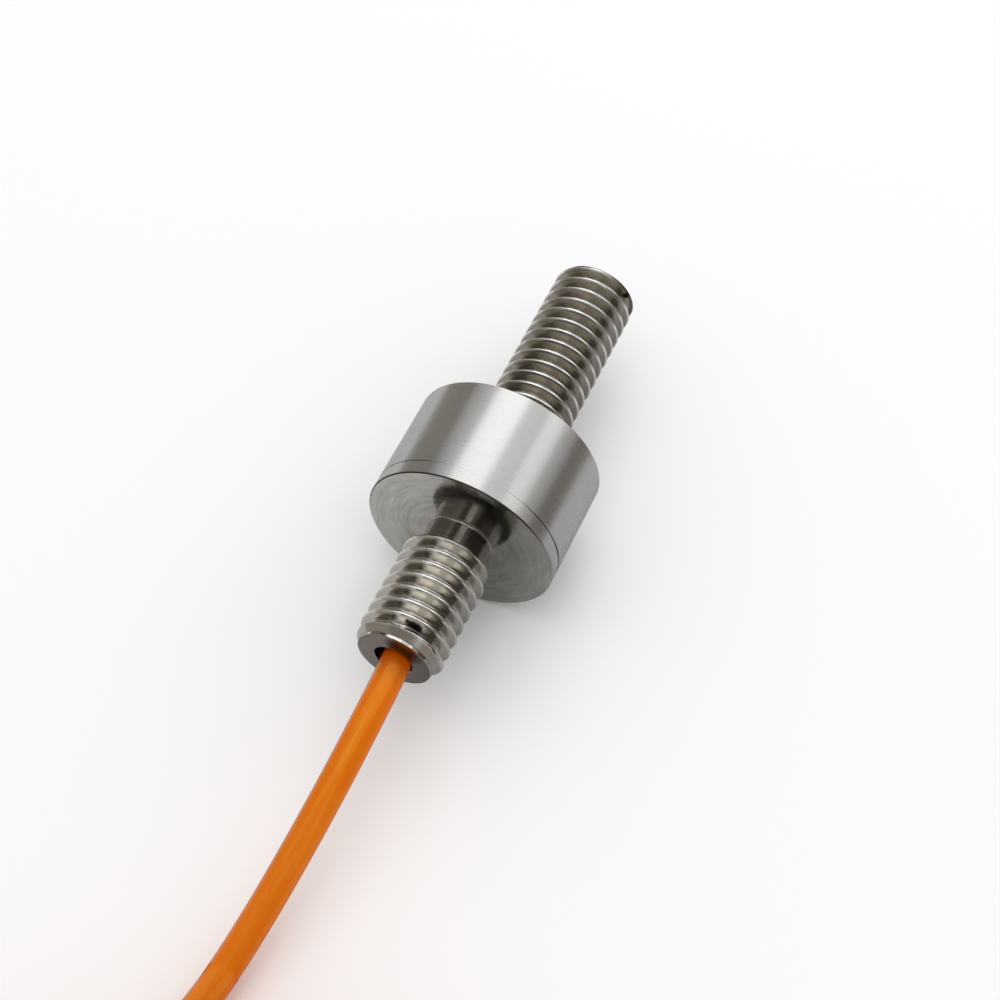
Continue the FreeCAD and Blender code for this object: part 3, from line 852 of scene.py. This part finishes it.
# Turns of the hank in the order they are laid, inwards and outwards by turns: radius at the folds, and height
HANK_TURNS = [
    (radius, CABLE_DIAMETER * (layer + 0.5))
    for layer in range(HANK_LAYERS)
    for radius in (TURN_RADII if layer % 2 == 0 else TURN_RADII[::-1])
]


def side_points(side, radius, height):
    """One side of a turn, from the near fold to the far one, squeezed in and up by the tie at the waist."""
    lifted = TIE_THICKNESS + height * (1 - TIE_THICKNESS / HANK_HEIGHT)
    waist_height = height + (lifted - height) * WAIST_PULL
    waist_inward = HANK_SQUEEZE * (WAIST_PULL - 1 / 6)
    points = []
    for share, inward, z in (
        (0.25, HANK_SQUEEZE / 2, height),
        (0.5, waist_inward, waist_height),
        (0.75, HANK_SQUEEZE / 2, height),
    ):
        points.append((HANK_NEAR_X - share * HANK_RUN, HANK_Y + side * (radius - inward), z))
    return points


def fold_radius(start, end, share):
    """The radius part of the way round a fold: a turn moves inwards late, outwards early, and up outside."""
    if end[0] < start[0]:
        return start[0] + (end[0] - start[0]) * share**2
    if end[0] > start[0]:
        return start[0] + (end[0] - start[0]) * (1 - (1 - share) ** 2)
    climbing = end[1] > start[1] and start[0] == OUTER_TURN
    return start[0] + (CLIMB_BULGE * math.sin(math.pi * share) if climbing else 0.0)


def fold_points(x, facing, start, end):
    """Half a turn round one end of the hank, between two (radius, height) pairs."""
    points = []
    step = math.pi / FOLD_STEPS
    for k in range(FOLD_STEPS):
        share = (k + 0.5) / FOLD_STEPS
        radius = fold_radius(start, end, share) / math.cos(step / 2)
        height = start[1] + (end[1] - start[1]) * share
        turn = share * math.pi
        out, side = facing * radius * math.sin(turn), facing * radius * math.cos(turn)
        points.append((x + out, HANK_Y - side, height))
    return points


def hank_points():
    """Every turn of the hank, then the tail on top of it."""
    points = []
    for turn, following in zip(HANK_TURNS, HANK_TURNS[1:] + [(OUTER_TURN, TAIL_Z)]):
        points += side_points(1, *turn)
        points += fold_points(HANK_FAR_X, -1, turn, turn)
        points += side_points(-1, *turn)[::-1]
        points += fold_points(HANK_NEAR_X, 1, turn, following)
    return points + TAIL_ROUTE


def lead_points(across, up, fold):
    """A stripped lead's route: out of the jacket, down onto the hank and round its far fold."""
    start = Vector((WAIST_X - TAIL_REACH, TAIL_Y + across, TAIL_Z + up))
    z = HANK_HEIGHT + LEAD_DIAMETER / 2
    landing = Vector((HANK_FAR_X + LEAD_LANDING, HANK_Y + fold, z))
    straight_end = start - Vector((LEAD_STRAIGHT, 0, 0))
    left_over = LEAD_LENGTH - LEAD_STRAIGHT - (landing - straight_end).length - LEAD_LANDING
    sweep = min(math.pi, left_over / fold)
    step = sweep / LEAD_FOLD_STEPS

    def round_fold(radius, turn):
        return Vector((HANK_FAR_X - radius * math.sin(turn), HANK_Y + radius * math.cos(turn), z))

    points = [start, straight_end, landing]
    points += [round_fold(fold / math.cos(step / 2), step * (i + 0.5)) for i in range(LEAD_FOLD_STEPS)]
    heading = Vector((-math.cos(sweep), -math.sin(sweep), 0))
    points.append(round_fold(fold, sweep) + heading * (left_over - sweep * fold))
    return points


# Tie

def strap_stations():
    """Places along the tie's strap: (y, z) on its inner face and the direction away from the hank.

    The strap starts in its head, goes down and round the hank, and ends as a stub beyond the head.
    """
    left, right = HANK_Y - TIE_HALF, HANK_Y + TIE_HALF
    corners = [Vector(c) for c in ((left, TIE_THICKNESS), (right, TIE_THICKNESS), (right, TIE_HIGH))]
    start = Vector((left, TIE_LOW + TIE_START))
    slope = (Vector((left, TIE_LOW)) - corners[-1]).normalized()
    points = [start] + corners + [Vector((left, TIE_LOW)) + slope * TIE_STUB]
    stations = []
    trimmed = 0.0
    for i in range(len(points) - 1):
        ahead = (points[i + 1] - points[i]).normalized()
        outward = Vector((ahead.y, -ahead.x))
        begin = points[i] + ahead * trimmed
        final = i == len(points) - 2
        turn = 0.0
        if not final:
            turn = ahead.angle_signed((points[i + 2] - points[i + 1]).normalized())
        trimmed = TIE_CORNER * math.tan(abs(turn) / 2)
        stop = points[i + 1] - ahead * trimmed
        count = round((stop - begin).length / (TOOTH_LENGTH / TOOTH_STEPS))
        stations += [(begin.lerp(stop, k / count), outward) for k in range(count + 1)]
        if not final:
            middle = stop - outward * TIE_CORNER
            for k in range(1, TIE_CORNER_STEPS):
                arm = outward.copy()
                arm.rotate(Matrix.Rotation(-turn * k / TIE_CORNER_STEPS, 2))
                stations.append((middle + arm * TIE_CORNER, arm))
    return stations


def both_sides(right):
    """A section's right half, then its mirror image in the order that carries on round it."""
    return right + [(-across, height) for across, height in reversed(right)]


def strap_section(travelled):
    """The strap's section, as (across, away from the hank): raised rails outside, teeth inside."""
    tooth = TOOTH_DEPTH * ((travelled / TOOTH_LENGTH) % 1.0)
    half = TIE_WIDTH / 2
    return both_sides([
        (TOOTH_HALF, tooth),
        (TOOTH_HALF + TOOTH_MARGIN, 0.0),
        (half - STRAP_INNER_BREAK, 0.0),
        (half, STRAP_INNER_BREAK),
        (half, TIE_THICKNESS - STRAP_OUTER_BREAK),
        (half - STRAP_OUTER_BREAK, TIE_THICKNESS),
        (TOOTH_HALF + RAIL_SLOPE, TIE_THICKNESS),
        (TOOTH_HALF, TIE_THICKNESS - RAIL_HEIGHT),
    ])


def head_section(inset, window):
    """The head's section, as (across, height): a bridge over the strap, with a window in its top."""
    half = HEAD_WIDTH / 2 - inset
    top = HEAD_HEIGHT - inset
    outside = both_sides([
        (half, 0.0),
        (half, top - HEAD_ROUND),
        (half - HEAD_ROUND_MIDDLE, top - HEAD_ROUND_MIDDLE),
        (half - HEAD_ROUND, top),
        (WINDOW_HALF, top),
        (WINDOW_FLOOR_HALF, top - window),
    ])
    slot = TIE_WIDTH / 2 + SLOT_SIDE_ROOM
    slot_top = TIE_THICKNESS + SLOT_TOP_ROOM
    return outside + [(-slot, 0.0), (-slot, slot_top), (slot, slot_top), (slot, 0.0)]


def lofted(mesh, rings):
    """Joins rings of points into a closed tube with filled ends."""
    rows = [[mesh.verts.new(metres(point)) for point in ring] for ring in rings]
    for before, after in zip(rows, rows[1:]):
        for i in range(len(before)):
            j = (i + 1) % len(before)
            mesh.faces.new((before[i], before[j], after[j], after[i]))
    mesh.faces.new(rows[0][::-1])
    mesh.faces.new(rows[-1])


def strap_rings():
    rings = []
    travelled = 0.0
    before = None
    for place, outward in strap_stations():
        travelled += (place - before).length if before else 0.0
        before = place
        ring = []
        for across, away in strap_section(travelled):
            y, z = place + outward * away
            ring.append((WAIST_X + across, y, z))
        rings.append(ring)
    return rings


def head_rings():
    tilt = math.atan2(TIE_HIGH - TIE_LOW, 2 * TIE_HALF)
    rings = []
    for along, inset, depth in HEAD_STATIONS:
        ring = []
        for across, height in head_section(inset, depth):
            y = HANK_Y - TIE_HALF + along * math.cos(tilt) - height * math.sin(tilt)
            ring.append((WAIST_X + across, y, TIE_LOW + along * math.sin(tilt) + height * math.cos(tilt)))
        rings.append(ring)
    return rings


def hank_tie():
    """A toothed tie round the hank's waist, with its head on the hank's top edge and a cut stub."""
    mesh = bmesh.new()
    lofted(mesh, strap_rings())
    lofted(mesh, head_rings())
    bmesh.ops.recalc_face_normals(mesh, faces=mesh.faces)
    data = bpy.data.meshes.new("toothed_tie")
    mesh.to_mesh(data)
    mesh.free()
    data.shade_smooth()
    data.set_sharp_from_angle(angle=TIE_SHARP_ANGLE)
    data.materials.append(tie_nylon)
    item = bpy.data.objects.new("toothed_tie", data)
    bpy.context.collection.objects.link(item)
    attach(item, "root")
    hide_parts("hank_tie")
    return item


cable = cord_curve("cable", CABLE_ROUTE + hank_points(), CABLE_DIAMETER, jacket)
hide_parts("cable_in_stud", "cable_free", "cable_hank")

# Each lead's start across and above the jacket's middle, and its radius round the hank's fold
LEADS = {
    "red": (0.62, 0.2, 9.4),
    "black": (0.31, -0.35, 8.4),
    "green": (0.0, 0.35, 7.4),
    "white": (-0.31, -0.35, 6.4),
    "shield": (-0.62, 0.2, 5.4),
}
for colour, (across, up, fold) in LEADS.items():
    points = lead_points(across, up, fold)
    lead = cord_curve(f"{colour}_lead_wire", points, LEAD_DIAMETER, INSULATION.get(colour, tinned))
    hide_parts(f"{colour}_lead")
    curve_length(lead)

curve_length(cable)
hank_tie()


# Finishes of the solids that stay

SOLID_FINISHES = {
    "bore_potting": resin,
    "cable_crimp_ring": brass,
    "bridge_board": laminate,
    "gauge_solder_joints": tinned,
    "core_solder_joints": tinned,
    "tinned_tips": tinned,
    "zero_balance_resistor": chip_body,
    "span_resistor": chip_body,
    "temperature_resistor": chip_body,
}
SOLID_FINISHES.update({f"strain_gauge_{i}": gauge_film for i in range(1, 5)})
SOLID_FINISHES.update({f"gauge_wires_{i}": copper for i in range(1, 5)})
SOLID_FINISHES.update({f"{colour}_core": finish for colour, finish in INSULATION.items()})
for name, finish in SOLID_FINISHES.items():
    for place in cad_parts[name].material_slots:
        place.material = finish


# Floor, lamps and what the bare metal reflects

FLOOR_REACH = 20000
FLOOR_COLOUR = (0.97, 0.97, 0.97)
WORLD_STRENGTH = 0.725
# Lamps: angle about the load axis from +Y in degrees, distance from it, width, length, place along it and
# radiance
LAMPS = {
    "main_softbox": (80.4, 400, 292, 480, 420, 1.4),
    "fill_softbox": (112, 400, 150, 480, 420, 0.34),
    "side_softbox": (139, 400, 170, 480, 420, 0.85),
    "top_softbox": (90, 390, 500, 270, -25, 0.47),
    "strip_softbox": (86, 395, 110, 240, -75, 0.8),
    "front_lamp": (100, 173, 24, 70, -111, 1.5),
}
# Flags on a ring round the cell: glow towards X and towards Y, then the lower and the upper edge as
# (degrees from +X, height) rows
FLAG_RADIUS = 37.0
FLAG_GLOW = (1.0, 0.93, 0.83)
FLAGS = {
    "horizon_flag_near": (0.1, 0.28, [(168, 0.1), (206, 0.1)], [(168, 8), (174, 16), (200, 16), (206, 5)]),
    "horizon_flag_right": (
        0.1, 0.28, [(-80, 0.1), (0, 0.1)],
        [(-80, 16), (-62, 16.3), (-57, 16.8), (-53, 18.4), (-40, 21), (0, 24)],
    ),
    "horizon_flag_left": (
        0.1, 0.42, [(0, 0.1), (40, 0.1), (60, 6.3), (74, 7)], [(0, 24), (50, 30), (64, 33), (74, 33)],
    ),
    "left_stud_flag": (
        0.16, 0.16, [(74, 7), (90, 7), (98, 8), (104, 11), (112, 12)],
        [(74, 33), (96, 33), (104, 36), (112, 30)],
    ),
    "right_stud_flag": (0.08, 0.08, [(250, 0.1), (280, 0.1)], [(250, 45), (264, 40), (272, 24), (280, 16)]),
    "right_mid_flag": (0.38, 0.38, [(266, 36), (272, 24), (280, 16), (286, 17)], [(266, 42), (286, 42)]),
    "high_flag": (0.06, 0.06, [(66, 33), (96, 33)], [(66, 52), (70, 56), (96, 56)]),
    "left_flag": (0.2, 0.2, [(112, 8), (130, 8), (134, 14), (144, 30)], [(112, 52), (144, 52)]),
    "right_flag": (
        0.03, 0.03, [(214, 26), (222, 18), (226, 5), (228, 0.1), (250, 0.1)], [(214, 52), (250, 52)],
    ),
    "left_low_flag": (
        0.33, 0.33, [(98, 0.1), (134, 0.1), (140, 3), (168, 3)],
        [(98, 8), (104, 11), (112, 12), (114, 8), (130, 8), (134, 14), (144, 30), (168, 20)],
    ),
    "right_low_flag": (
        0.33, 0.33, [(206, 0.1), (228, 0.1)], [(206, 18), (214, 26), (222, 18), (226, 5), (228, 0.5)],
    ),
}
FLAG_STEP = 2
# The studio's dark side behind the camera: lowest and highest angle above the floor, and glow
CAMERA_FLAGS = {
    "camera_flag_high": (47, 76, 0.06),
    "camera_flag_low": (24, 47, 0.24),
}
CAMERA_FLAG_DISTANCE = 220.0
CAMERA_FLAG_DEGREES = range(138, 232, 4)
# Film on the floor, a painted shadow that only reflections show: the share of light it lets through on a line
# along the cell and beyond a distance from that line, and round one point, where it lets through less
FILM_REACH = 45
FILM_HEIGHT = 0.02
FILM_LINE_Y = -3
FILM_LINE_FADE = 8
FILM_SHARES = (0.42, 0.63)
FILM_POINT = (-15, -24, 0)
FILM_POINT_FADE = (12, 20)
FILM_POINT_SHARE = 0.5


def stage_mesh(name, corners, faces, material):
    data = bpy.data.meshes.new(name)
    data.from_pydata([metres(c) for c in corners], [], faces)
    data.materials.append(material)
    item = bpy.data.objects.new(name, data)
    bpy.context.collection.objects.link(item)
    return item


def level_square(reach, height):
    corners = ((-reach, -reach), (reach, -reach), (reach, reach), (-reach, reach))
    return [(x, y, height) for x, y in corners]


def add_floor():
    material, _, _, shader = new_material("floor")
    shader.inputs["Base Color"].default_value = (*FLOOR_COLOUR, 1)
    shader.inputs["Roughness"].default_value = 0.9
    shader.inputs["Specular IOR Level"].default_value = 0.0
    stage_mesh("floor", level_square(FLOOR_REACH, 0), [(0, 1, 2, 3)], material)


def softbox(name, angle, distance, width, length, x, radiance):
    """A rectangular lamp along the load axis, at an angle about it from +Y, that looks at the axis."""
    data = bpy.data.lights.new(name, "AREA")
    data.shape = "RECTANGLE"
    data.size = length * MM
    data.size_y = width * MM
    data.energy = radiance * math.pi * data.size * data.size_y
    item = bpy.data.objects.new(name, data)
    turn = math.radians(angle)
    item.location = metres((x, distance * math.cos(turn), AXIS_HEIGHT + distance * math.sin(turn)))
    item.rotation_euler = (turn - math.pi / 2, 0, 0)
    bpy.context.collection.objects.link(item)
    return item


def reflected_only(name, corners, faces, material):
    """A studio flag or film that only reflections show."""
    item = stage_mesh(name, corners, faces, material)
    item.visible_camera = False
    item.visible_diffuse = False
    item.visible_shadow = False


def strip_faces(corners):
    """The faces of a strip whose corners run along it in pairs."""
    return [(i, i + 2, i + 3, i + 1) for i in range(0, len(corners) - 2, 2)]


def dark_finish(name, low, high):
    """A dim warm glow, low towards +X and -X and high towards +Y and -Y."""
    material, nodes, links, shader = new_material(name)
    nodes.remove(shader)
    glow = node(nodes, "ShaderNodeEmission", Color=(*FLAG_GLOW, 1))
    sideways = arithmetic(nodes, links, "POWER", object_place(nodes, links)[1]["Y"], 2)
    strength = ranged(nodes, links, sideways, 0.0, (FLAG_RADIUS * MM) ** 2, low, high)
    links.new(strength, glow.inputs["Strength"])
    links.new(glow.outputs["Emission"], nodes["Material Output"].inputs["Surface"])
    return material


def screen(name, finish, low, high):
    """An upright curved screen round the cell; low and high are its edges, as (degrees from +X, height)."""
    corners = []
    for degree in range(low[0][0], low[-1][0] + 1, FLAG_STEP):
        turn = math.radians(degree)
        x, y = FLAG_RADIUS * math.cos(turn), FLAG_RADIUS * math.sin(turn)
        corners += [(x, y, envelope(low, degree)), (x, y, envelope(high, degree))]
    reflected_only(name, corners, strip_faces(corners), finish)


def camera_flag(name, low, high, brightness):
    """A part of a dome behind the camera, between two angles above the floor."""
    corners = []
    for degree in CAMERA_FLAG_DEGREES:
        for rise in (low, high):
            turn, up = math.radians(degree), math.radians(rise)
            outward = CAMERA_FLAG_DISTANCE * math.cos(up)
            height = AXIS_HEIGHT + CAMERA_FLAG_DISTANCE * math.sin(up)
            corners.append((outward * math.cos(turn), outward * math.sin(turn), height))
    reflected_only(name, corners, strip_faces(corners), dark_finish(name, brightness, brightness))


def floor_shadow_film():
    """A grey film on the floor, a painted shadow in what the steel shows of it, most on a line along the
    cell.
    """
    material, nodes, links, shader = new_material("floor_shadow_film")
    nodes.remove(shader)
    clear = nodes.new("ShaderNodeBsdfTransparent")
    place, parts = object_place(nodes, links)
    beside = arithmetic(nodes, links, "SUBTRACT", parts["Y"], FILM_LINE_Y * MM)
    from_line = arithmetic(nodes, links, "ABSOLUTE", beside)
    shade = ranged(nodes, links, from_line, 0.0, FILM_LINE_FADE * MM, *FILM_SHARES)
    from_point = distance_from(nodes, links, place, FILM_POINT)
    dimming = ranged(nodes, links, from_point, *[d * MM for d in FILM_POINT_FADE], FILM_POINT_SHARE, 1.0)
    links.new(arithmetic(nodes, links, "MULTIPLY", shade, dimming), clear.inputs["Color"])
    links.new(clear.outputs["BSDF"], nodes["Material Output"].inputs["Surface"])
    reflected_only("floor_shadow_film", level_square(FILM_REACH, FILM_HEIGHT), [(0, 1, 2, 3)], material)


add_floor()
lamps = {name: softbox(name, *measures) for name, measures in LAMPS.items()}
lamps["top_softbox"].visible_glossy = False
aim(lamps["front_lamp"], (LOWER_FACE, 0, AXIS_HEIGHT))

world = bpy.context.scene.world or bpy.data.worlds.new("world")
bpy.context.scene.world = world
world.use_nodes = True
background = world.node_tree.nodes["Background"]
background.inputs["Color"].default_value = (1, 1, 1, 1)
background.inputs["Strength"].default_value = WORLD_STRENGTH

for name, (low_glow, high_glow, lower_edge, upper_edge) in FLAGS.items():
    screen(name, dark_finish(name, low_glow, high_glow), lower_edge, upper_edge)
for name, measures in CAMERA_FLAGS.items():
    camera_flag(name, *measures)
floor_shadow_film()
bpy.context.scene.view_settings.view_transform = "Standard"
